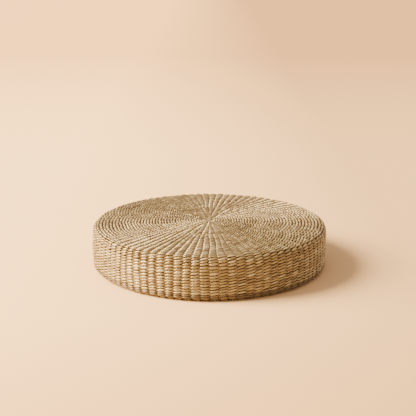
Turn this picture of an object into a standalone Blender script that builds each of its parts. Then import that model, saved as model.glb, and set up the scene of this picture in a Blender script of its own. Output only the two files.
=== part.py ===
# Round woven straw seat pad, in metres, +Z up, with its origin on the floor under its centre.
# A foam core in a sewn bag is wrapped by 44 forked stakes, laid like spokes over the top, down
# the wall and under the base, and by twined weft that lies over the stakes as plain shells.
# Every layer is the same outline taken at its own depth under the outer surface.
import math

import bmesh
import bpy

# Overall sizes
PAD_RADIUS = 0.200
RIM_HEIGHT = 0.075          # floor to the crest of the rim
CROWN_RISE = 0.003          # height of the centre over the crest
CROWN_RADIUS = 0.012        # rounding between the top and the wall
FOOT_INSET = 0.015          # how far the wall rolls in towards the base
FOOT_HEIGHT = 0.009         # height at which that roll starts

# Layers, from the outside in
WEFT_THICKNESS = 0.003
STAKE_THICKNESS = 0.003
LINER_THICKNESS = 0.0008
GAP = 0.0003                # clearance between neighbouring pieces

# Stakes
STAKE_COUNT = 44
LEG_WIDTH = 0.005
STAKE_TIP_WIDTH = 0.001     # at the hub, where the stakes crowd together
FORK_RADIUS = 0.105         # where a stake parts into two legs

# Courses and hubs
HUB_RADIUS = 0.0092
RIM_COURSE_DROP = 0.005     # how far the rim course reaches down the wall
BORDER_RISE = 0.004         # how far the border reaches above the foot's roll
HUB_RECESS = 0.0004         # how far the underside's hub stays off the floor
SEAM_ANGLE = math.radians(45)   # where the panels part on the crown and on the foot

STAKE_OUTER = WEFT_THICKNESS + GAP
STAKE_INNER = STAKE_OUTER + STAKE_THICKNESS
LINER_OUTER = STAKE_INNER + GAP
LINER_INNER = LINER_OUTER + LINER_THICKNESS
CORE_OUTER = LINER_INNER + GAP

CREST_RADIUS = PAD_RADIUS - CROWN_RADIUS
FULL_TURN = 2 * math.pi
FACET_ANGLE = FULL_TURN / STAKE_COUNT
TO_CORNER = 1 / math.cos(FACET_ANGLE / 2)   # from the middle of a facet to its corner
LEG_ANGLE = FACET_ANGLE / 4                 # from a stake's middle line to each of its legs
QUARTER = math.pi / 2
MERGE_DISTANCE = 0.00005

# Colour and roughness of each material
STRAW = ((0.62, 0.47, 0.28), 0.6)
BORDER_STRAW = ((0.58, 0.42, 0.20), 0.6)
STEM = ((0.55, 0.40, 0.22), 0.65)
CLOTH = ((0.80, 0.76, 0.68), 0.85)
FOAM = ((0.86, 0.84, 0.76), 0.9)


# Points of the outline: each takes a depth under the outer surface and gives (radius, height).
def top_point(radius):
    return lambda depth: (radius, RIM_HEIGHT + CROWN_RISE * (1 - radius / CREST_RADIUS) - depth)


def crown_point(angle):
    return lambda depth: (
        CREST_RADIUS + (CROWN_RADIUS - depth) * math.sin(angle),
        RIM_HEIGHT - CROWN_RADIUS + (CROWN_RADIUS - depth) * math.cos(angle),
    )


def wall_point(height):
    return lambda depth: (PAD_RADIUS - depth, height)


def foot_point(angle):
    return lambda depth: (
        PAD_RADIUS - FOOT_INSET + (FOOT_INSET - depth) * math.cos(angle),
        FOOT_HEIGHT - (FOOT_HEIGHT - depth) * math.sin(angle),
    )


def base_point(radius):
    return lambda depth: (radius, depth)


def remove_everything():
    for thing in list(bpy.data.objects):
        bpy.data.objects.remove(thing, do_unlink=True)


def make_material(name, look):
    colour, roughness = look
    material = bpy.data.materials.new(name)
    material.use_nodes = True
    shader = material.node_tree.nodes["Principled BSDF"]
    shader.inputs["Base Color"].default_value = (*colour, 1)
    shader.inputs["Roughness"].default_value = roughness
    shader.inputs["Metallic"].default_value = 0
    return material


def add_object(name, mesh, look):
    thing = bpy.data.objects.new(name, mesh)
    bpy.context.collection.objects.link(thing)
    thing.material_slots[0].link = "OBJECT"
    thing.material_slots[0].material = make_material(name, look)
    return thing


def turned_piece(name, profile, closed, look):
    """Turn a profile of (radius, height) points about Z, with a facet for each stake."""
    mesh = bpy.data.meshes.new(name)
    points = [(radius * TO_CORNER, 0, height) for radius, height in profile]
    edges = [(i, i + 1) for i in range(len(points) - 1)]
    if closed:
        edges.append((len(points) - 1, 0))
    mesh.from_pydata(points, edges, [])
    mesh.materials.append(None)
    thing = add_object(name, mesh, look)
    screw = thing.modifiers.new("turn", "SCREW")
    screw.angle = FULL_TURN
    screw.steps = STAKE_COUNT
    screw.render_steps = STAKE_COUNT
    screw.use_merge_vertices = True
    screw.merge_threshold = MERGE_DISTANCE
    screw.use_smooth_shade = True
    return thing


def layer(name, stations, outer, inner, look):
    """A shell between two depths: a ring if its stations leave the axis free, else a cap."""
    outside = [station(outer) for station in stations]
    inside = [station(inner) for station in reversed(stations)]
    starts_on_axis = outside[0][0] == 0
    ends_on_axis = outside[-1][0] == 0
    profile = inside + outside if ends_on_axis else outside + inside
    ring = not (starts_on_axis or ends_on_axis)
    return turned_piece(name, profile, ring, look)


def seam_gap(across, down):
    """The angle that a gap takes up at the seam of an oval rounding with these two radii."""
    return GAP / math.hypot(across * math.sin(SEAM_ANGLE), down * math.cos(SEAM_ANGLE))


def crown_gap(depth):
    return seam_gap(CROWN_RADIUS - depth, CROWN_RADIUS - depth)


def foot_gap(depth):
    return seam_gap(FOOT_INSET - depth, FOOT_HEIGHT - depth)


def make_weft():
    rim_course_end = RIM_HEIGHT - CROWN_RADIUS - RIM_COURSE_DROP
    border_start = FOOT_HEIGHT + BORDER_RISE
    panels = {
        "top_weft": [
            top_point(HUB_RADIUS + GAP),
            crown_point(0),
            crown_point(SEAM_ANGLE - crown_gap(WEFT_THICKNESS)),
        ],
        "rim_course_top": [
            crown_point(SEAM_ANGLE),
            crown_point(QUARTER),
            wall_point(rim_course_end),
        ],
        "side_weft": [
            wall_point(rim_course_end - GAP),
            wall_point(border_start + GAP),
        ],
        "rim_course_bottom": [
            wall_point(border_start),
            foot_point(0),
            foot_point(SEAM_ANGLE),
        ],
        "bottom_weft": [
            foot_point(SEAM_ANGLE + foot_gap(WEFT_THICKNESS)),
            foot_point(QUARTER),
            base_point(HUB_RADIUS + GAP),
        ],
    }
    for name, stations in panels.items():
        look = BORDER_STRAW if name == "rim_course_bottom" else STRAW
        layer(name, stations, 0, WEFT_THICKNESS, look)


def make_hubs():
    """The bound crossing of the stakes, on the top and under the base."""
    top = RIM_HEIGHT + CROWN_RISE
    start = [
        (0, top),
        (HUB_RADIUS, top),
        (HUB_RADIUS, top - STAKE_INNER),
        (0, top - STAKE_INNER),
    ]
    finish = [
        (0, STAKE_INNER),
        (HUB_RADIUS, STAKE_INNER),
        (HUB_RADIUS, HUB_RECESS),
        (0, HUB_RECESS),
    ]
    turned_piece("start_knot", start, False, STRAW)
    turned_piece("finish_knot", finish, False, STRAW)


def make_bag():
    panels = {
        "liner_top": [
            top_point(0),
            crown_point(0),
            crown_point(SEAM_ANGLE - crown_gap(LINER_INNER)),
        ],
        "liner_band": [
            crown_point(SEAM_ANGLE),
            crown_point(QUARTER),
            foot_point(0),
            foot_point(SEAM_ANGLE),
        ],
        "liner_bottom": [
            foot_point(SEAM_ANGLE + foot_gap(LINER_INNER)),
            foot_point(QUARTER),
            base_point(0),
        ],
    }
    for name, stations in panels.items():
        layer(name, stations, LINER_OUTER, LINER_INNER, CLOTH)


def make_core():
    stations = [
        top_point(0),
        crown_point(0),
        crown_point(SEAM_ANGLE),
        crown_point(QUARTER),
        foot_point(0),
        foot_point(SEAM_ANGLE),
        foot_point(QUARTER),
        base_point(0),
    ]
    profile = [station(CORE_OUTER) for station in stations]
    turned_piece("foam_core", profile, False, FOAM)


def leg_edges(radius):
    """Where a leg's two sides lie, across the stake, at this distance from the centre."""
    middle = radius * math.tan(LEG_ANGLE)
    return middle - LEG_WIDTH / 2, middle + LEG_WIDTH / 2


def add_row(form, station, across):
    """Corners of a stake's cross-section: pairs of outer and inner points at each offset."""
    (outer_x, outer_z), (inner_x, inner_z) = station(STAKE_OUTER), station(STAKE_INNER)
    return [
        (form.verts.new((outer_x, y, outer_z)), form.verts.new((inner_x, y, inner_z)))
        for y in across
    ]


def add_strip(form, first, second):
    """The outer and inner faces between two rows of a stake."""
    for i in range(len(first) - 1):
        form.faces.new((first[i][0], second[i][0], second[i + 1][0], first[i + 1][0]))
        form.faces.new((first[i][1], first[i + 1][1], second[i + 1][1], second[i][1]))


def add_side(form, first, second, side):
    """The face along one side of a stake, between two rows."""
    near, far = first[side], second[side]
    form.faces.new((near[0], near[1], far[1], far[0]))


def add_end(form, row):
    for i in range(len(row) - 1):
        form.faces.new((row[i][0], row[i + 1][0], row[i + 1][1], row[i][1]))


def stake_mesh():
    """One stake along +X: hub, fork, two legs over the rim and down the wall, fork, hub."""
    form = bmesh.new()
    tip = STAKE_TIP_WIDTH / 2
    tip_radius = HUB_RADIUS + GAP
    across_tip = (-tip, 0, tip)
    across_fork = (-LEG_WIDTH, 0, LEG_WIDTH)
    top_tip = add_row(form, top_point(tip_radius), across_tip)
    top_fork = add_row(form, top_point(FORK_RADIUS), across_fork)
    base_fork = add_row(form, base_point(FORK_RADIUS), across_fork)
    base_tip = add_row(form, base_point(tip_radius), across_tip)
    for first, second in ((top_tip, top_fork), (base_fork, base_tip)):
        add_strip(form, first, second)
        add_side(form, first, second, 0)
        add_side(form, first, second, -1)
    add_end(form, top_tip)
    add_end(form, base_tip)

    bends = [
        crown_point(0),
        crown_point(SEAM_ANGLE),
        crown_point(QUARTER),
        foot_point(0),
        foot_point(SEAM_ANGLE),
        foot_point(QUARTER),
    ]
    for side in (-1, 1):
        rows = [top_fork[:2] if side < 0 else top_fork[1:]]
        for bend in bends:
            edges = leg_edges(bend(STAKE_OUTER)[0])
            rows.append(add_row(form, bend, sorted(side * y for y in edges)))
        rows.append(base_fork[:2] if side < 0 else base_fork[1:])
        for first, second in zip(rows, rows[1:]):
            add_strip(form, first, second)
            add_side(form, first, second, 0)
            add_side(form, first, second, -1)

    bmesh.ops.recalc_face_normals(form, faces=form.faces)
    mesh = bpy.data.meshes.new("stake")
    form.to_mesh(mesh)
    form.free()
    mesh.materials.append(None)
    return mesh


def make_stakes():
    mesh = stake_mesh()
    for i in range(STAKE_COUNT):
        stake = add_object(f"stake_{i + 1:02d}", mesh, STEM)
        stake.rotation_euler.z = (i + 0.5) * FACET_ANGLE


remove_everything()
make_core()
make_bag()
make_stakes()
make_hubs()
make_weft()
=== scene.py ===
import math

import bpy
import numpy as np
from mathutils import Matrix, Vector


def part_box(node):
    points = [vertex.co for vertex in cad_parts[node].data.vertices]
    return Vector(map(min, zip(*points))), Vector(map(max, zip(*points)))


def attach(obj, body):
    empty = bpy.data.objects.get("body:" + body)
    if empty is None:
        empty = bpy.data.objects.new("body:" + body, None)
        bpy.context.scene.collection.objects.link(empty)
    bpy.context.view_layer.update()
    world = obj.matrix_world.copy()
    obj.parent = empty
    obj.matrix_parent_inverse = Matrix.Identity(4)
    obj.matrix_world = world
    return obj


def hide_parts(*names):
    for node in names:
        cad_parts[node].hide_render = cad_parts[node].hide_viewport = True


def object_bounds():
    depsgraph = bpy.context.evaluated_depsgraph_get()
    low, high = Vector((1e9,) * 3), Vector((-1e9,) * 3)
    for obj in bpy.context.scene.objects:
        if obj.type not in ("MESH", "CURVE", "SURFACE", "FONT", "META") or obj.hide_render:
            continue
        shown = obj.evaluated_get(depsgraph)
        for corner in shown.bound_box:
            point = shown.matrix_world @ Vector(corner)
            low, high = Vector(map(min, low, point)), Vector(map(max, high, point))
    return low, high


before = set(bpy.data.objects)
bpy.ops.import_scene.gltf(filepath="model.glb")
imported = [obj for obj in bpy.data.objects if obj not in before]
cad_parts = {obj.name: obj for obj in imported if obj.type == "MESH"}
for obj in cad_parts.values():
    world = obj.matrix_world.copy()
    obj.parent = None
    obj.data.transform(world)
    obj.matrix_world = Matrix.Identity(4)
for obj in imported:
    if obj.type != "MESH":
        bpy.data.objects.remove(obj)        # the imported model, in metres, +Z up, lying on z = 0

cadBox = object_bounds()
fullTurn = 2 * math.pi
stakeNodes = [name for name in sorted(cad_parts) if name.startswith("stake_")]
print("frame: %d nodes, %d of them stakes" % (len(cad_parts), len(stakeNodes)))

# The pad is one outline turned about Z: over the top, round the crown, down the wall, round the
# foot and back under the base. Everything woven is worked out in three numbers: the way along
# that outline from the centre of the top, the depth under its surface, and the angle about Z.
pad = dict(
    radius=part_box("side_weft")[1].x,
    height=cadBox[1].z,
    crownRise=0.003,      # centre over the crest of the rim
    crownRadius=0.012,    # rounding between the top and the wall
    footInset=0.015,      # how far the wall rolls in at the floor
    footHeight=0.009,     # where that roll starts
    wallBulge=0.0012,     # the wall is a little fuller half way up
    points=300,           # on each of the five stretches
    step=0.00025,         # distance between points once they are evenly spaced
    soften=4,             # points on each side that a normal is averaged with
)


# Straight, oval and bulged stretches one after the other, respaced evenly by their length. Out is
# the unit normal of that line, averaged over its neighbours
def turnedOutline():
    count = pad["points"]
    crest = pad["radius"] - pad["crownRadius"]
    foot = pad["radius"] - pad["footInset"]
    rim = pad["height"] - pad["crownRise"]
    wallTop = rim - pad["crownRadius"]
    line = np.linspace(0, 1, count)
    bend = line * math.pi / 2
    radius = np.concatenate([
        crest * line,
        crest + pad["crownRadius"] * np.sin(bend),
        pad["radius"] + pad["wallBulge"] * np.sin(math.pi * line) ** 2,
        foot + pad["footInset"] * np.cos(bend),
        foot * (1 - line),
    ])
    height = np.concatenate([
        rim + pad["crownRise"] * (1 - line ** 2),
        wallTop + pad["crownRadius"] * np.cos(bend),
        wallTop + (pad["footHeight"] - wallTop) * line,
        pad["footHeight"] * (1 - np.sin(bend)),
        0 * line,
    ])
    way = np.concatenate([[0], np.cumsum(np.hypot(np.diff(radius), np.diff(height)))])
    crestWay, footWay, baseWay = (way[count * k - 1] for k in (1, 3, 4))
    even = np.arange(0, way[-1], pad["step"])
    radius = np.interp(even, way, radius)
    height = np.interp(even, way, height)
    across, down = np.gradient(radius), np.gradient(height)
    size = np.hypot(across, down)
    beside = pad["soften"]
    average = np.ones(2 * beside + 1) / (2 * beside + 1)
    return dict(
        way=even, radius=radius, height=height,
        outX=np.convolve(np.pad(-down / size, beside, "edge"), average, "valid"),
        outZ=np.convolve(np.pad(across / size, beside, "edge"), average, "valid"),
        crest=crestWay, foot=footWay, base=baseWay, end=way[-1],
    )


outline = turnedOutline()

# How far the hand strays from true rings and spokes and how deep the surface dips, each with the
# longest wave of it along the outline
hand = dict(
    courses=0.00035, courseWave=0.12,
    columns=0.0009, columnWave=0.2,
    surface=0.0004, surfaceWave=0.15,
    waves=7,              # sine waves in each of the three
    mostTurns=25,         # waves round the pad, at the most
    calmLength=0.02,      # dips fade out over this length before the underside
    calmRadius=0.04,      # columns stray by no wider an angle inside this radius
    floorGap=0.0001,      # the floor presses the underside flat at this height
)


# The sum of a few sine waves that run round the pad and along its outline
def wander(way, angle, seed, longest):
    dice = np.random.default_rng(seed)
    total = 0
    for wave in range(hand["waves"]):
        wavesRound = int(dice.integers(1, hand["mostTurns"] + 1))
        length = longest * dice.uniform(0.3, 1)
        total = total + np.sin(wavesRound * angle + fullTurn * way / length + dice.uniform(0, fullTurn))
    return total / math.sqrt(hand["waves"])


# The outline's point at that way, less the depth along its normal, turned to the angle
def place(way, depth, angle):
    way = way + hand["courses"] * wander(way, angle, 1, hand["courseWave"])
    calm = np.clip((outline["base"] - way) / hand["calmLength"], 0, 1)
    depth = depth + hand["surface"] * (1 + calm * wander(way, angle, 2, hand["surfaceWave"])) / 2
    radius, height, outX, outZ = (
        np.interp(way, outline["way"], outline[key]) for key in ("radius", "height", "outX", "outZ"))
    stray = hand["columns"] * wander(way, angle, 3, hand["columnWave"])
    angle = angle + stray / np.maximum(radius, hand["calmRadius"])
    radius = radius - depth * outX
    height = np.maximum(height - depth * outZ, hand["floorGap"])
    return np.stack([radius * np.cos(angle), radius * np.sin(angle), height], axis=-1)


# Ways where the kinds of weave change
eyeWay = 0.0044                                # round the eye of the top
knotWay = 0.0091                               # end of the binding of the stakes
grooveWay = outline["crest"] + 0.0063          # dark groove between the top and the rim course
grooveHalf = 0.0003
rimEnd = grooveWay + 0.0154
wallEnd = outline["foot"] - 0.004
borderEnd = wallEnd + 0.0108

# The weft is one spiral of two strands that twist round each other between the stakes. Each zone
# has its turns between two ways, and opening is how much its pitch grows from one to the other.
# swing is how far a strand goes in and out, half is half its thickness, cover is its share of the
# pitch at a crest, part is how far partners part between stakes as a share of the pitch, and lean
# straightens a float's slant.
zones = [
    dict(turns=1, start=eyeWay, end=knotWay, opening=0,
         swing=0.0010, half=0.0010, cover=0.96, part=0.2, lean=0.15),
    dict(turns=37, start=knotWay, end=grooveWay - grooveHalf, opening=0.14,
         swing=0.0018, half=0.0013, cover=0.80, part=0.12, lean=0.22),
    dict(turns=3, start=grooveWay + grooveHalf, end=rimEnd, opening=0,
         swing=0.0018, half=0.0014, cover=0.91, part=0.25, lean=0.05),
    dict(turns=10, start=rimEnd, end=wallEnd, opening=-0.04,
         swing=0.0014, half=0.0013, cover=0.93, part=0.22, lean=0.14),
    dict(turns=3, start=wallEnd, end=borderEnd, opening=0,
         swing=0.0016, half=0.0011, cover=1.0, part=0.2, lean=0.16),
    dict(turns=36, start=borderEnd, end=outline["end"] - knotWay, opening=-0.14,
         swing=0.0021, half=0.0013, cover=0.90, part=0.18, lean=0.2),
    dict(turns=1, start=outline["end"] - knotWay, end=outline["end"] - eyeWay, opening=0,
         swing=0.0010, half=0.0010, cover=0.96, part=0.2, lean=0.15),
]
zoneKeys = ("swing", "half", "cover", "part", "lean")

# Stakes are doubled as the round widens
stakes = dict(
    radii=(0, 0.020, 0.042, 0.085),      # where each number starts
    counts=(11, 22, 44, 88),
    settle=5,             # turns that a new stake takes to move to its place
    parting=0.6,          # how far a new stake starts from the one beside it
)

# Strands of the weft
strand = dict(
    sides=8,              # corners of the tube
    mostSwing=0.2,        # a strand swings no more than this share of a column's width
    fullColumn=0.0095,    # a strand is pressed thinner on columns narrower than this
    thinnest=0.75,        # but not below this share
    flatCrest=1.42,       # more keeps a float longer at the surface
    waist=0.225,          # half width of a strand behind a stake, as a share of the pitch
    swell=0.75,           # less keeps a strand wide further from its crest
    pinched=0.08,         # it is thicker by this share where it is narrow
    squareness=0.9,       # 1 is an oval, less is a rounded square
    fuller=0.1,           # spread of the strand's width from float to float
    sunk=0.00028,         # and of its depth
    aside=0.00026,        # and of its place
    slowTone=0.12,        # spread of its tone along many floats
    slowFloats=9,         # as many as this
    quickTone=0.15,       # and from float to float
)

# Painted shade: straw is drawn darker, towards a deep tone, where it lies deep under the surface and on a
# strand's flanks, where shade falls
paintedShade = dict(
    shallow=0.0005,       # depth where the painted shade starts
    deep=0.0050,          # and where it is full
    edge=0.62,            # painted shade on a strand's flanks
)


# Ways, pitch and stake count of every turn. The pitch grows or shrinks evenly across a zone
def planTurns():
    plan = {key: [] for key in ("start", "pitch") + zoneKeys}
    for zone in zones:
        count = zone["turns"]
        share = 1 + zone["opening"] * ((np.arange(count) + 0.5) / count * 2 - 1)
        pitch = share * (zone["end"] - zone["start"]) / share.sum()
        plan["start"].append(zone["start"] + np.cumsum(pitch) - pitch)
        plan["pitch"].append(pitch)
        for key in zoneKeys:
            plan[key].append(np.full(count, zone[key]))
    plan = {key: np.concatenate(rows) for key, rows in plan.items()}
    middle = plan["start"] + plan["pitch"] / 2
    radius = np.interp(middle, outline["way"], outline["radius"])
    plan["count"] = np.array(stakes["counts"])[np.searchsorted(stakes["radii"], radius, "right") - 1]
    plan["middle"] = middle
    plan["column"] = fullTurn * radius / plan["count"]
    plan["swing"] = np.minimum(plan["swing"], strand["mostSwing"] * plan["column"])
    plan["half"] = plan["half"] * np.clip(plan["column"] / strand["fullColumn"], strand["thinnest"], 1)
    return plan


turns = planTurns()
turnCount = len(turns["start"])


# Even angles for a turn's stakes. Near a turn with fewer, each is drawn to the stake it came from,
# by a share that falls off smoothly over the turns it takes to settle
def stakeAngles(turn):
    count = int(turns["count"][turn])
    index = np.arange(count)
    angles = (index + 0.5) / count
    for direction in (-1, 1):
        for gap in range(1, stakes["settle"] + 1):
            other = turn + direction * gap
            if not 0 <= other < turnCount:
                break
            fewer = int(turns["count"][other])
            if fewer == count:
                continue
            if fewer < count:
                parent = index * fewer // count
                beside = (index + 0.5) / count * fewer - parent - 0.5
                first = (parent + 0.5 + beside * stakes["parting"]) / fewer
                late = (gap - 0.5) / stakes["settle"]
                late = late * late * (3 - 2 * late)
                angles = first + (angles - first) * late
            break
    return angles * fullTurn


# Every crossing of the weft with a stake, in the order the spiral meets them
spokes = [stakeAngles(turn) for turn in range(turnCount)]
crossTurn = np.repeat(np.arange(turnCount), turns["count"])
crossAngle = np.concatenate([fullTurn * turn + spokes[turn] for turn in range(turnCount)])
crossFirst = np.concatenate([[0], np.cumsum(turns["count"])])
crossCount = len(crossAngle)
crossIndex = np.arange(crossCount)
print("weave: %d turns over %d stake crossings" % (turnCount, crossCount))


# Four-cornered faces between neighbouring rows of points, row by row, closed round each row
def tubeFaces(rows, sides, first):
    row, side = np.meshgrid(np.arange(rows - 1), np.arange(sides), indexing="ij")
    after = (side + 1) % sides
    corners = [row * sides + side, (row + 1) * sides + side, (row + 1) * sides + after, row * sides + after]
    return first + np.stack(corners, axis=-1).reshape(-1, 4)


# A mesh from points, faces grouped by their number of corners, UV maps per corner, values per point
def buildPiece(name, points, faceGroups, maps, values, look, nodes):
    mesh = bpy.data.meshes.new(name)
    corners = np.concatenate([group.ravel() for group in faceGroups])
    sizes = np.concatenate([np.full(len(group), group.shape[1]) for group in faceGroups])
    mesh.vertices.add(len(points))
    mesh.vertices.foreach_set("co", points.astype(np.float32).ravel())
    mesh.loops.add(len(corners))
    mesh.loops.foreach_set("vertex_index", corners.astype(np.int32))
    mesh.polygons.add(len(sizes))
    mesh.polygons.foreach_set("loop_start", (np.cumsum(sizes) - sizes).astype(np.int32))
    mesh.update(calc_edges=True)
    for label, groups in maps.items():
        layer = mesh.uv_layers.new(name=label)
        flat = np.concatenate([group.reshape(-1, 2) for group in groups])
        layer.uv.foreach_set("vector", flat.astype(np.float32).ravel())
    for label, numbers in values.items():
        attribute = mesh.attributes.new(label, "FLOAT", "POINT")
        attribute.data.foreach_set("value", numbers.astype(np.float32))
    mesh.shade_smooth()
    mesh.materials.append(look)
    piece = bpy.data.objects.new(name, mesh)
    bpy.context.collection.objects.link(piece)
    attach(piece, "root")
    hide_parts(*nodes)
    return piece


# The map that looks are baked through: long tubes lie in level bands, and end caps along its top
bakeMap = dict(
    tubes=0.98,           # share of the height for the tubes
    bandGap=0.05,         # clear edge of a band, as a share of it
    sideGap=0.002,
    capGap=0.01,
    capWide=0.004,
    capHigh=0.006,
)


# Bands are cut so that the bake is as fine along a strand as around it
def cutBands(tubes, girth):
    length = sum(tube["along"][-1] for tube in tubes)
    bandLength = math.sqrt(length * girth)
    used = 0
    for tube in tubes:
        steps = len(tube["along"]) - 1
        tube["perBand"] = math.ceil(steps / max(1, round(tube["along"][-1] / bandLength)))
        tube["firstBand"] = used
        used += math.ceil(steps / tube["perBand"])
    return used


# Ring after ring of points, carried along a path, becomes a closed tube with a cap at each end. Its
# strand map is metres along the path by metres round the tube
def tubePiece(name, tubes, look, nodes):
    sides = strand["sides"]
    girth = np.mean([np.linalg.norm(np.diff(t["points"], axis=1), axis=-1).sum(1).mean() for t in tubes])
    for tube in tubes:
        middle = tube["points"].mean(axis=1)
        steps = np.linalg.norm(np.diff(middle, axis=0), axis=1)
        tube["along"] = np.concatenate([[0], np.cumsum(steps)])
    bandsUsed = cutBands(tubes, girth)
    corner = np.arange(sides)
    # painted shade: each ring is drawn darker on its flanks and the deeper it lies, kept as the sunk attribute
    edge = paintedShade["edge"] * np.cos(fullTurn * (corner / sides - 0.25)) ** 2
    points, quads, caps, tones, paintedShades = [], [], [], [], []
    bakeQuads, bakeCaps, strandQuads, strandCaps = [], [], [], []
    first = 0
    for number, tube in enumerate(tubes):
        rows = len(tube["along"])
        points.append(tube["points"].reshape(-1, 3))
        tones.append(np.repeat(tube["tone"], sides))
        sunk = np.clip((tube["depth"] - paintedShade["shallow"]) / (paintedShade["deep"] - paintedShade["shallow"]), 0, 1)
        paintedShades.append((sunk * (1 - edge) + edge).ravel())
        quads.append(tubeFaces(rows, sides, first))
        ring = first + corner
        caps.append(np.stack([ring, ring[::-1] + (rows - 1) * sides]))
        first += rows * sides
        row, side = np.meshgrid(np.arange(rows - 1), corner, indexing="ij")
        rowAt = np.stack([row, row + 1, row + 1, row], axis=-1)
        sideAt = np.stack([side, side, side + 1, side + 1], axis=-1)
        strandQuads.append(np.stack([tube["along"][rowAt], sideAt / sides * girth], axis=-1))
        band = (row // tube["perBand"])[..., None]
        across = (rowAt - band * tube["perBand"]) / tube["perBand"]
        inBand = bakeMap["bandGap"] + (1 - 2 * bakeMap["bandGap"]) * sideAt / sides
        up = (tube["firstBand"] + band + inBand) / bandsUsed
        bakeQuads.append(np.stack([
            bakeMap["sideGap"] + (1 - 2 * bakeMap["sideGap"]) * across, bakeMap["tubes"] * up], axis=-1))
        for end, winding in ((0, 1), (1, -1)):
            capTurn = winding * fullTurn * corner / sides
            capShare = (2 * number + end) / (2 * len(tubes))
            capMiddle = bakeMap["capGap"] + (1 - 2 * bakeMap["capGap"]) * capShare
            bakeCaps.append(np.stack([
                capMiddle + bakeMap["capWide"] * np.cos(capTurn),
                (1 + bakeMap["tubes"]) / 2 + bakeMap["capHigh"] * np.sin(capTurn)], axis=-1))
            strandCaps.append(np.full((sides, 2), tube["along"][-1] * end))
    maps = {
        "strand": [np.concatenate([g.reshape(-1, 2) for g in strandQuads]), np.concatenate(strandCaps)],
        "OFBake": [np.concatenate([g.reshape(-1, 2) for g in bakeQuads]), np.concatenate(bakeCaps)],
    }
    groups = [np.concatenate(quads), np.concatenate(caps)]
    values = {"tone": np.concatenate(tones), "sunk": np.concatenate(paintedShades)}
    return buildPiece(name, np.concatenate(points), groups, maps, values, look, nodes)


# One strand of the pair between two turns. At each stake it is in front or behind by turns: depth
# follows the cosine of its way between stakes, with a flattened crest, and it parts from its
# partner by the sine, less a third harmonic that straightens the float. Ends lie behind a stake.
def strandTube(partner, first, last, frontSteps, backSteps, dice):
    stop = crossFirst[last] if last < turnCount else crossCount - 2
    begin, end = (int(m) + (int(m) - partner + 1) % 2 for m in (crossFirst[first], stop))
    cycle = np.concatenate([
        np.linspace(-1, -0.5, backSteps, endpoint=False),
        np.linspace(-0.5, 0.5, frontSteps, endpoint=False),
        np.linspace(0.5, 1, backSteps, endpoint=False),
    ])
    fronts = np.arange(begin + 1, end, 2)
    at = np.append((fronts[:, None] + cycle).ravel(), end)
    angle = np.interp(at, crossIndex, crossAngle)
    turn = np.clip((angle / fullTurn).astype(int), first, last - 1)
    way = turns["start"][turn] + turns["pitch"][turn] * (angle / fullTurn - turn)
    pitch, swing, half, cover, part, lean = (
        np.interp(at, crossIndex, turns[key][crossTurn]) for key in ("pitch",) + zoneKeys)
    spots = np.arange(begin, end + 1)
    fuller, sunk, aside = (
        np.interp(at, spots, size * dice.standard_normal(len(spots)))
        for size in (strand["fuller"], strand["sunk"], strand["aside"]))
    phase = math.pi * (at - partner)
    near = np.cos(phase)
    wave = np.sin(strand["flatCrest"] * near) / math.sin(strand["flatCrest"])
    depth = swing * (1 - wave) + half + np.abs(sunk)
    way = way + aside - part * pitch * (np.sin(phase) - lean * np.sin(3 * phase))
    crest = np.abs(near) ** strand["swell"]
    width = pitch * (strand["waist"] + (cover / 2 - strand["waist"]) * crest) * (1 + fuller)
    thick = half * (1 + strand["pinched"] * (1 - crest))
    turned = fullTurn * (np.arange(strand["sides"]) / strand["sides"] - 0.25)
    out, over = (
        np.sign(s) * np.abs(s) ** strand["squareness"] for s in (np.sin(turned), np.cos(turned)))
    slowCount = max(3, (end - begin) // strand["slowFloats"])
    slow = np.interp(at, np.linspace(begin, end, slowCount), dice.standard_normal(slowCount))
    quick = np.interp(at, spots, dice.standard_normal(len(spots)))
    ringDepth = depth[:, None] - thick[:, None] * out
    return dict(
        points=place(way[:, None] + width[:, None] * over, ringDepth, angle[:, None]),
        depth=ringDepth,
        tone=np.clip(0.5 + strand["slowTone"] * slow + strand["quickTone"] * quick, 0, 1),
    )


# An sRGB hex value as linear light, with full alpha
def hexColour(code):
    parts = [int(code[k:k + 2], 16) / 255 for k in (0, 2, 4)]
    return [p / 12.92 if p <= 0.04045 else ((p + 0.055) / 1.055) ** 2.4 for p in parts] + [1]


# Adds a node with its settings, and fills or links its inputs
def addNode(tree, kind, inputs=(), **settings):
    node = tree.nodes.new("ShaderNode" + kind)
    for key, value in settings.items():
        setattr(node, key, value)
    for key, value in dict(inputs).items():
        if isinstance(value, bpy.types.NodeSocket):
            tree.links.new(value, node.inputs[key])
        else:
            node.inputs[key].default_value = value
    return node


def newMaterial(name):
    material = bpy.data.materials.new(name)
    material.use_nodes = True
    tree = material.node_tree
    return material, tree, tree.nodes["Principled BSDF"]


# What all the straws share. Scales are per metre: a fibre is 0.4 mm wide, drawn at 0.8 mm to show
straw = dict(
    winding=0.42,         # leaves wind once round their strand in about 25 mm
    fibreLength=60,       # streaks 17 mm long
    fibreWidth=1250,      # and 0.8 mm wide
    patches=38,           # paler and browner stretches 26 mm across
    patchShare=0.4,
    fibreShare=0.5,
    darkest=0.65,         # sum of patches, fibres and tone that takes the first tone
    palest=1.25,          # and the last
    smoother=0.06,        # roughness falls by this on a raised fibre
    rougher=0.08,         # and grows by this between fibres
    relief=0.0004,
    ior=1.6,
    wax="FFF0D8",         # tint of the shine
    grain=0.7,            # how much the shine is drawn out across a strand
)
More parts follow.
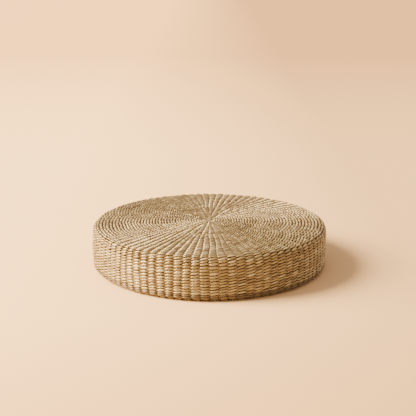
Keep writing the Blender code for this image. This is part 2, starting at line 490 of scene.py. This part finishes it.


# Twisted rush and straw leaves: a waxy skin over dull fibre, pale where it dried fast and browner where it
# dried slowly, with painted shade towards a deep tone in hollows and on flanks. The eye gets fine streaks that
# wind round each strand, and a soft shine.
def strawMaterial(name, tones, paintedShadeTone, roughness):
    material, tree, shader = newMaterial(name)
    strandMap = addNode(tree, "UVMap", uv_map="strand").outputs[0]
    tone = addNode(tree, "Attribute", attribute_name="tone").outputs["Fac"]
    sunk = addNode(tree, "Attribute", attribute_name="sunk").outputs["Fac"]
    spot = addNode(tree, "TexCoord").outputs["Object"]
    split = addNode(tree, "SeparateXYZ", {0: strandMap})
    wound = addNode(tree, "Math", {0: split.outputs[0], 1: straw["winding"], 2: split.outputs[1]},
                    operation="MULTIPLY_ADD")
    fibreAt = addNode(tree, "CombineXYZ", {0: split.outputs[0], 1: wound.outputs[0]})
    stretch = addNode(tree, "Mapping", {
        "Vector": fibreAt.outputs[0], "Scale": (straw["fibreLength"], straw["fibreWidth"], 1)})
    fibre = addNode(tree, "TexNoise", {
        "Vector": stretch.outputs[0], "Scale": 1, "Detail": 2, "Roughness": 0.6}).outputs[0]
    patch = addNode(tree, "TexNoise", {"Vector": spot, "Scale": straw["patches"], "Detail": 2}).outputs[0]
    mixed = addNode(tree, "Math", {0: patch, 1: straw["patchShare"], 2: tone},
                    operation="MULTIPLY_ADD")
    streaked = addNode(tree, "Math", {0: fibre, 1: straw["fibreShare"], 2: mixed.outputs[0]},
                       operation="MULTIPLY_ADD")
    level = addNode(tree, "MapRange", {
        0: streaked.outputs[0], 1: straw["darkest"], 2: straw["palest"], 3: 0, 4: 1})
    ramp = addNode(tree, "ValToRGB", {0: level.outputs[0]})
    marks = ramp.color_ramp.elements
    while len(marks) < len(tones):
        marks.new(0.5)
    for mark, (position, code) in zip(marks, tones):
        mark.position = position
        mark.color = hexColour(code)
    # painted shade: the colour goes towards the deep tone as the sunk attribute grows
    withPaintedShade = addNode(tree, "Mix", {"Factor": sunk, "A": ramp.outputs[0], "B": hexColour(paintedShadeTone)},
                      data_type="RGBA")
    tree.links.new(withPaintedShade.outputs["Result"], shader.inputs["Base Color"])
    rough = addNode(tree, "MapRange", {
        0: fibre, 1: 0.3, 2: 0.7, 3: roughness - straw["smoother"], 4: roughness + straw["rougher"]})
    tree.links.new(rough.outputs[0], shader.inputs["Roughness"])
    bump = addNode(tree, "Bump", {"Height": fibre, "Strength": 0.5, "Distance": straw["relief"]})
    tree.links.new(bump.outputs[0], shader.inputs["Normal"])
    # the skin is ribbed along its length, so its shine is drawn out across a strand
    grain = addNode(tree, "Tangent", direction_type="UV_MAP", uv_map="strand")
    tree.links.new(grain.outputs[0], shader.inputs["Tangent"])
    shader.inputs["Anisotropic"].default_value = straw["grain"]
    shader.inputs["Anisotropic Rotation"].default_value = 0.25
    shader.inputs["IOR"].default_value = straw["ior"]
    shader.inputs["Specular IOR Level"].default_value = 1.0
    shader.inputs["Specular Tint"].default_value = hexColour(straw["wax"])
    return material


rushStraw = strawMaterial(
    "twistedRushStraw",
    tones=((0.0, "504125"), (0.3, "685B39"), (0.55, "7A6E4B"), (0.8, "8B8060"), (1.0, "9A9175")),
    paintedShadeTone="372611", roughness=0.27)
# Flattened leaves, worn dull: browner straw, drawn darker still as painted shade where the pad meets the floor
borderStraw = strawMaterial(
    "yellowRushStraw",
    tones=((0.0, "2D2110"), (0.4, "3F3018"), (0.7, "4F3D23"), (1.0, "5E4D2F")),
    paintedShadeTone="1D1307", roughness=0.5)
# Whole stems that show only between the strands, dull and grey-brown, drawn dark as painted shade in the holes
# between the strands
stemStraw = strawMaterial(
    "ryeStrawStems",
    tones=((0.0, "3F331D"), (0.5, "5A4E33"), (1.0, "6F664B")),
    paintedShadeTone="372611", roughness=0.5)

cotton = dict(
    threads=160,          # threads lie 0.5 mm apart; drawn 2 mm apart to show
    between="8F7B5C",
    crossing="B3A184",
    relief=0.0003,
    roughness=0.9,
)


# Unbleached plain-weave cotton: matt threads over and under, with no shine. Its tan is drawn darker, as painted
# shade where it shows through the holes in the weave
def bagMaterial():
    material, tree, shader = newMaterial("unbleachedCotton")
    spot = addNode(tree, "TexCoord").outputs["Object"]
    warp = addNode(tree, "TexWave", {"Vector": spot, "Scale": cotton["threads"]}, bands_direction="X")
    fill = addNode(tree, "TexWave", {"Vector": spot, "Scale": cotton["threads"]}, bands_direction="Y")
    cloth = addNode(tree, "Math", {0: warp.outputs["Fac"], 1: fill.outputs["Fac"]},
                    operation="MULTIPLY").outputs[0]
    tint = addNode(tree, "Mix", {
        "Factor": cloth, "A": hexColour(cotton["between"]), "B": hexColour(cotton["crossing"])},
        data_type="RGBA")
    tree.links.new(tint.outputs["Result"], shader.inputs["Base Color"])
    bump = addNode(tree, "Bump", {"Height": cloth, "Strength": 0.4, "Distance": cotton["relief"]})
    tree.links.new(bump.outputs[0], shader.inputs["Normal"])
    shader.inputs["Roughness"].default_value = cotton["roughness"]
    return material


foam = dict(
    cells=500,            # cells are about 0.5 mm; drawn at 2 mm to show
    pore="D8CFA8",
    wall="F2ECD2",
    relief=0.0006,
    roughness=0.95,
)


# Open-cell polyurethane foam: pale, matt, full of small round pores
def foamMaterial():
    material, tree, shader = newMaterial("polyurethaneFoam")
    spot = addNode(tree, "TexCoord").outputs["Object"]
    cell = addNode(tree, "TexVoronoi", {"Vector": spot, "Scale": foam["cells"]}).outputs["Distance"]
    tint = addNode(tree, "Mix", {
        "Factor": cell, "A": hexColour(foam["pore"]), "B": hexColour(foam["wall"])},
        data_type="RGBA")
    tree.links.new(tint.outputs["Result"], shader.inputs["Base Color"])
    bump = addNode(tree, "Bump", {"Height": cell, "Strength": 0.6, "Distance": foam["relief"]})
    tree.links.new(bump.outputs[0], shader.inputs["Normal"])
    shader.inputs["Roughness"].default_value = foam["roughness"]
    return material


unbleachedCotton = bagMaterial()
polyurethaneFoam = foamMaterial()
print("materials: straw, border straw, stems, cotton, foam")

# Pieces of the weft: name, first and last turn, steps on a float and behind, and what it replaces
weftPieces = [
    ("startKnot", 0, 1, 9, 2, "start_knot"),
    ("topWeftInner", 1, 18, 9, 2, "top_weft"),
    ("topWeftMiddle", 18, 28, 9, 2, "top_weft"),
    ("topWeftOuter", 28, 38, 9, 2, "top_weft"),
    ("rimCourse", 38, 41, 10, 2, "rim_course_top"),
    ("wallWeftUpper", 41, 46, 10, 2, "side_weft"),
    ("wallWeftLower", 46, 51, 10, 2, "side_weft"),
    ("borderCourse", 51, 54, 8, 2, "rim_course_bottom"),
    ("baseWeftOuter", 54, 64, 5, 1, "bottom_weft"),
    ("baseWeftMiddle", 64, 75, 5, 1, "bottom_weft"),
    ("baseWeftInner", 75, 90, 6, 1, "bottom_weft"),
    ("finishKnot", 90, 91, 6, 2, "finish_knot"),
]

# The end of a strand, coiled up in the eye of the round
coil = dict(
    points=60,
    turns=1.7,
    start=0.0002,         # way where it starts
    reach=0.0036,         # and how far it goes from there
    depth=0.0012,
    half=0.00115,
    endShare=0.04,        # it stops short of a point by this share
    blunt=0.3,            # less makes its ends blunter
    tone=0.6,
)


# A snail: its way grows evenly with its angle, and its thickness is a sine that ends short of zero
def eyeCoil(fromBase):
    at = np.linspace(0, 1, coil["points"])
    angle = coil["turns"] * fullTurn * at
    way = coil["start"] + coil["reach"] * at
    if fromBase:
        way = outline["end"] - way
        angle = -angle
    half = coil["half"] * np.sin(math.pi * np.clip(at, coil["endShare"], 1 - coil["endShare"])) ** coil["blunt"]
    turned = fullTurn * (np.arange(strand["sides"]) / strand["sides"] - 0.25)
    depth = coil["depth"] - half[:, None] * np.sin(turned)
    return dict(
        points=place(way[:, None] + half[:, None] * np.cos(turned), depth, angle[:, None]),
        depth=depth,
        tone=np.full(coil["points"], coil["tone"]),
    )


# The two strands of each piece, and a coil in each eye
def makeWeft():
    for number, (name, first, last, frontSteps, backSteps, node) in enumerate(weftPieces):
        dice = np.random.default_rng(100 + number)
        tubes = [strandTube(partner, first, last, frontSteps, backSteps, dice) for partner in (0, 1)]
        if name in ("startKnot", "finishKnot"):
            tubes.append(eyeCoil(name == "finishKnot"))
        if name == "borderCourse":
            look, slot = borderStraw, "straw_border"
        else:
            look, slot = rushStraw, "straw_weave"
        tubePiece(name, tubes, look, [node])
        print("  %s: %d points" % (name, sum(tube["points"].size // 3 for tube in tubes)))


# Every stake of the wall is followed up over the rim and back under the base, to the turn where it
# was pushed in beside its neighbour and the turn where it is cut off
def stakeRoutes():
    finest = int(np.argmax(turns["count"]))
    total = int(turns["count"][finest])
    angle = np.zeros((turnCount, total))
    there = np.zeros((turnCount, total), bool)
    for direction in (-1, 1):
        index, alive = np.arange(total), np.ones(total, bool)
        turn = finest
        while 0 <= turn < turnCount:
            count = int(turns["count"][turn])
            before = int(turns["count"][turn - direction]) if turn != finest else count
            if count < before:
                parent = index * count // before
                alive = alive & (-(-parent * before // count) == index)
                index = parent
            angle[turn], there[turn] = spokes[turn][index], alive
            turn += direction
    return angle, there


# Straw stems that the strands go in and out of
stem = dict(
    step=0.006,           # length of a stretch
    beyond=0.003,         # how far it goes past its last course
    fill=0.95,            # share of the room between the strands that it takes
    thinnest=0.0003,
    widest=0.0021,
    columnShare=0.27,     # half width, as a share of its column's
    endShare=0.02,        # it stops short of a point by this share
    blunt=8,              # more makes its ends blunter
    tones=(0.2, 0.8),     # brownest and palest
    innermost=0.003,      # its angle widens no more inside this radius
)


# A flat oval carried along the outline at a stake's angle, between the two depths of the strands.
# Its size falls to a blunt end as the root of a clipped sine
def makeStakes():
    angle, there = stakeRoutes()
    turned = fullTurn * (np.arange(strand["sides"]) / strand["sides"] - 0.25)
    dice = np.random.default_rng(5)
    tubes = []
    for stake in range(angle.shape[1]):
        shown = np.flatnonzero(there[:, stake])
        ways = turns["middle"][shown]
        start, end = ways[0] - stem["beyond"], ways[-1] + stem["beyond"]
        way = np.linspace(start, end, int((end - start) / stem["step"]) + 2)
        turnAngle = np.interp(way, ways, angle[shown, stake])
        swing, half, column = (
            np.interp(way, turns["middle"], turns[key]) for key in ("swing", "half", "column"))
        thick = np.maximum(swing - half, stem["thinnest"]) * stem["fill"]
        wide = np.minimum(stem["widest"], stem["columnShare"] * column)
        bell = np.sin(math.pi * np.linspace(stem["endShare"], 1 - stem["endShare"], len(way)))
        ends = np.minimum(1, bell * stem["blunt"]) ** 0.5
        radius = np.maximum(np.interp(way, outline["way"], outline["radius"]), stem["innermost"])
        ringAngle = turnAngle[:, None] + (wide * ends / radius)[:, None] * np.cos(turned)
        ringDepth = (swing + half)[:, None] - (thick * ends)[:, None] * np.sin(turned)
        points = place(way[:, None] + 0 * ringAngle, ringDepth, ringAngle)
        tone = np.full(len(way), dice.uniform(*stem["tones"]))
        tubes.append(dict(points=points[:, ::-1], depth=ringDepth[:, ::-1], tone=tone))
    tubePiece("stakeStems", tubes, stemStraw, stakeNodes)
    print("stakes: %d stems" % len(tubes))


makeWeft()
makeStakes()


# The turned outline sunk by a depth: a grid of ways by angles, closed by a fan at each pole
def turnedSkin(name, depth, rows, columns, look, nodes):
    way = np.linspace(0, outline["end"], rows + 2)[1:-1]
    angle = fullTurn * np.arange(columns) / columns
    points = place(way[:, None] + 0 * angle, depth, angle[None, :] + 0 * way[:, None]).reshape(-1, 3)
    poles = place(np.array([0, outline["end"]]), depth, np.zeros(2))
    poles[:, :2] = 0
    after = (np.arange(columns) + 1) % columns
    top = np.stack([np.full(columns, len(points)), np.arange(columns), after], axis=-1)
    last = (rows - 1) * columns
    bottom = np.stack([np.full(columns, len(points) + 1), last + after, last + np.arange(columns)], axis=-1)
    quads = tubeFaces(rows, columns, 0)
    return buildPiece(name, np.concatenate([points, poles]), [quads, top, bottom], {}, {}, look, nodes)


# Applies what modifiers and simulation have made of a piece
def settle(piece):
    seen = piece.evaluated_get(bpy.context.evaluated_depsgraph_get())
    mesh = bpy.data.meshes.new_from_object(seen)
    piece.modifiers.clear()
    piece.data = mesh


def meshPoints(piece):
    points = np.empty(len(piece.data.vertices) * 3, np.float32)
    piece.data.vertices.foreach_get("co", points)
    return points.reshape(-1, 3)


bag = dict(
    depth=0.0094,         # under the surface of the weave, before it swells
    rows=120,
    columns=240,
    fill=0.9,
    grow=0.0013,          # how far the weave lets it swell
    cell=0.006,           # size of its squares of cloth
    pressure=4,
    frames=20,
)
core = dict(depth=0.0118, rows=90, columns=160, fill=1.0)


# Cloth, blown up a little from inside and stopped by the weave: no point moves further than grow
def swellBag(piece):
    scene = bpy.context.scene
    remesh = piece.modifiers.new("even", "REMESH")
    remesh.mode = "VOXEL"
    remesh.voxel_size = bag["cell"]
    settle(piece)
    before = meshPoints(piece)
    cloth = piece.modifiers.new("cloth", "CLOTH")
    cloth.settings.use_pressure = True
    cloth.settings.uniform_pressure_force = bag["pressure"]
    cloth.settings.effector_weights.gravity = 0
    for number in range(1, bag["frames"] + 1):
        scene.frame_set(number)
    settle(piece)
    move = meshPoints(piece) - before
    reach = np.linalg.norm(move, axis=1, keepdims=True)
    tiny = 1e-9
    move *= np.minimum(1, bag["grow"] / np.maximum(reach, tiny))
    piece.data.vertices.foreach_set("co", (before + move).ravel())
    scene.frame_set(1)


def makeFilling():
    cover = turnedSkin("innerBag", bag["depth"], bag["rows"], bag["columns"], unbleachedCotton,
                       ["liner_top", "liner_band", "liner_bottom"])
    swellBag(cover)
    smooth = cover.modifiers.new("smooth", "SUBSURF")
    smooth.levels = smooth.render_levels = 1
    block = turnedSkin("foamCore", core["depth"], core["rows"], core["columns"], polyurethaneFoam,
                       ["foam_core"])
    print("filling: bag and foam")


makeFilling()

# Floor, two lights from the left, sky and camera. Angles are in degrees
view = dict(lens=85, sensor=36, distance=1.683, elevation=15.15, target=(-0.0025, 0, 0.0976))
lights = dict(
    key=dict(angle=182, elevation=37.5, spread=16, power=17.4, tint="FFE3B3"),
    fill=dict(angle=176, elevation=12, spread=17, power=9, tint="FFD395"),
)
sky = dict(strength=2.3, above="BFA892", below="E8B98C", horizon=0.02)
ground = dict(
    radius=14,
    sides=64,
    near="F9D8A6",        # painted light: its left side, lighter as if nearer the lights
    far="BFA27E",
    paintedLightFade=0.35,            # from one to the other over this distance each side of the middle
    edge="E2D7CE",        # painted shade: times this further back and further forward
    back=(0.9, 3.2),      # where that starts and is full, behind the pad
    front=(-0.25, -0.65), # and before it
    frontShare=0.7,
    roughness=0.9,
    shine=0.2,
)


# The camera backs off from its target by the distance, raised by the elevation
def makeCamera(scene):
    eye = math.radians(view["elevation"])
    camera = bpy.data.objects.new("camera", bpy.data.cameras.new("camera"))
    camera.data.lens = view["lens"]
    camera.data.sensor_width = view["sensor"]
    back = Vector((0, -math.cos(eye), math.sin(eye)))
    camera.location = Vector(view["target"]) + view["distance"] * back
    camera.rotation_euler = (math.pi / 2 - eye, 0, 0)
    scene.collection.objects.link(camera)
    scene.camera = camera


# Each shines from its angle round the pad and its elevation, softened by its spread
def makeLights(scene):
    for name, lamp in lights.items():
        angle, rise = math.radians(lamp["angle"]), math.radians(lamp["elevation"])
        toLight = Vector((math.cos(rise) * math.cos(angle), math.cos(rise) * math.sin(angle), math.sin(rise)))
        light = bpy.data.lights.new(name, "SUN")
        light.angle = 2 * math.radians(lamp["spread"])
        light.energy = lamp["power"]
        light.color = hexColour(lamp["tint"])[:3]
        holder = bpy.data.objects.new(name, light)
        holder.rotation_euler = toLight.to_track_quat("Z", "Y").to_euler()
        scene.collection.objects.link(holder)


# One soft colour over the horizon and one under it
def makeSky(scene):
    world = bpy.data.worlds.new("studio")
    world.use_nodes = True
    tree = world.node_tree
    background = tree.nodes["Background"]
    ray = addNode(tree, "TexCoord").outputs["Generated"]
    height = addNode(tree, "SeparateXYZ", {0: ray}).outputs[2]
    above = addNode(tree, "MapRange", {0: height, 1: -sky["horizon"], 2: sky["horizon"], 3: 0, 4: 1})
    glow = addNode(tree, "Mix", {
        "Factor": above.outputs[0], "A": hexColour(sky["below"]), "B": hexColour(sky["above"])},
        data_type="RGBA")
    tree.links.new(glow.outputs["Result"], background.inputs["Color"])
    background.inputs["Strength"].default_value = sky["strength"]
    scene.world = world


# Matt board with painted light: one colour that fades from light on the left, towards the lights, to darker on
# the right, with painted shade behind and in front
def floorMaterial():
    material, tree, shader = newMaterial("paintedFloor")
    spot = addNode(tree, "TexCoord").outputs["Object"]
    split = addNode(tree, "SeparateXYZ", {0: spot})
    across, along = split.outputs[0], split.outputs[1]
    paintedLightFade = addNode(tree, "MapRange", {0: across, 1: -ground["paintedLightFade"], 2: ground["paintedLightFade"]}).outputs[0]
    tint = addNode(tree, "Mix", {
        "Factor": paintedLightFade, "A": hexColour(ground["near"]), "B": hexColour(ground["far"])},
        data_type="RGBA")
    behind = addNode(tree, "MapRange", {0: along, 1: ground["back"][0], 2: ground["back"][1]}).outputs[0]
    before = addNode(tree, "MapRange", {
        0: along, 1: ground["front"][0], 2: ground["front"][1], 4: ground["frontShare"]}).outputs[0]
    edge = addNode(tree, "Math", {0: behind, 1: before}, operation="ADD", use_clamp=True).outputs[0]
    paintedLightFalloff = addNode(tree, "Mix", {
        "Factor": edge, "A": tint.outputs["Result"], "B": hexColour(ground["edge"])},
        data_type="RGBA", blend_type="MULTIPLY")
    tree.links.new(paintedLightFalloff.outputs["Result"], shader.inputs["Base Color"])
    shader.inputs["Roughness"].default_value = ground["roughness"]
    shader.inputs["Specular IOR Level"].default_value = ground["shine"]
    return material


# A flat round of evenly spaced corners
def makeFloor(scene):
    corner = fullTurn * np.arange(ground["sides"]) / ground["sides"]
    ring = ground["radius"] * np.stack([np.cos(corner), np.sin(corner), 0 * corner], axis=-1)
    mesh = bpy.data.meshes.new("floor")
    mesh.from_pydata(ring.tolist(), [], [list(range(ground["sides"]))])
    mesh.materials.append(floorMaterial())
    floor = bpy.data.objects.new("floor", mesh)
    scene.collection.objects.link(floor)


makeCamera(bpy.context.scene)
makeLights(bpy.context.scene)
makeSky(bpy.context.scene)
makeFloor(bpy.context.scene)
print("studio: camera, lights, sky, floor")
